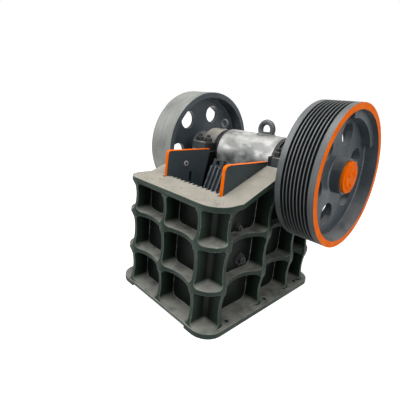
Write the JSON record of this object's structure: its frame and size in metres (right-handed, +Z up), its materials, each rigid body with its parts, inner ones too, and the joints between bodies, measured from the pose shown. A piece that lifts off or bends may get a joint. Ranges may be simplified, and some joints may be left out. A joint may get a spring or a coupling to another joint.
{
  "type": "jaw crusher",
  "caption": "Single-toggle jaw crusher: cast ribbed frame, toothed fixed and swing jaws, eccentric shaft with grooved drive pulley and flywheel, for breaking rock.",
  "frame": {"origin": "middle of the anchor bolt pattern, on the underside of the base flange", "axes": "+X along the eccentric shaft to the grooved drive pulley, -Y to the fixed jaw at the front, +Z up"},
  "size_m": [1.74, 1.571, 1.652],
  "materials": {
    "frame_paint": "satin, dusty",
    "wheel_paint": "satin, with machined rim",
    "plate_paint": "satin, with painted edges",
    "orange_paint": "gloss",
    "pitman_paint": "mottled silver",
    "housing_paint": "satin, dusty",
    "jaw_steel": "cast, painted dark",
    "forged_steel": "forged",
    "shaft_steel": "turned",
    "seal_black": "dull",
    "toggle_iron": "rough cast"
  },
  "bodies": {
    "frame": {"frame_front_wall": "frame_paint", "frame_rear_wall": "frame_paint", "frame_right_wall": "frame_paint", "frame_left_wall": "frame_paint", "frame_right_ribs": "frame_paint", "frame_left_ribs": "frame_paint", "fixed_jaw_plate": "jaw_steel", "right_cheek_plate": "plate_paint", "left_cheek_plate": "plate_paint", "right_bearing_cap": "housing_paint", "left_bearing_cap": "housing_paint", "right_bearing_cover": "housing_paint", "left_bearing_cover": "housing_paint", "right_cap_eyebolt": "forged_steel", "left_cap_eyebolt": "forged_steel", "toggle_plate": "toggle_iron", "rear_toggle_seat": "toggle_iron", "adjusting_shims": "shaft_steel"},
    "drive_shaft": {"eccentric_shaft": "shaft_steel", "drive_pulley": "wheel_paint", "flywheel": "wheel_paint", "drive_pulley_counterweight": "wheel_paint", "flywheel_counterweight": "wheel_paint", "drive_pulley_end_plate": "orange_paint", "flywheel_end_plate": "orange_paint"},
    "swing_jaw": {"pitman": "pitman_paint", "right_pitman_ring": "seal_black", "left_pitman_ring": "seal_black", "pitman_eyebolt": "forged_steel", "swing_jaw_plate": "jaw_steel", "right_jaw_lug": "jaw_steel", "left_jaw_lug": "jaw_steel", "front_toggle_seat": "toggle_iron", "tension_rod": "shaft_steel", "spring_front_plate": "toggle_iron", "tension_spring": "toggle_iron", "spring_rear_plate": "toggle_iron", "tension_rod_nut": "shaft_steel"}
  },
  "joints": [
    {"name": "shaft_spin", "type": "hinge", "parent": "frame", "child": "drive_shaft", "pos_m": [0, 0.31, 1.116], "axis": [1, 0, 0], "continuous": true},
    {"name": "jaw_swing", "type": "hinge", "parent": "frame", "child": "swing_jaw", "pos_m": [0, 0.02793, 0.23373], "axis": [1, 0, 0], "range_deg": [-0.74, 0.74]}
  ]
}
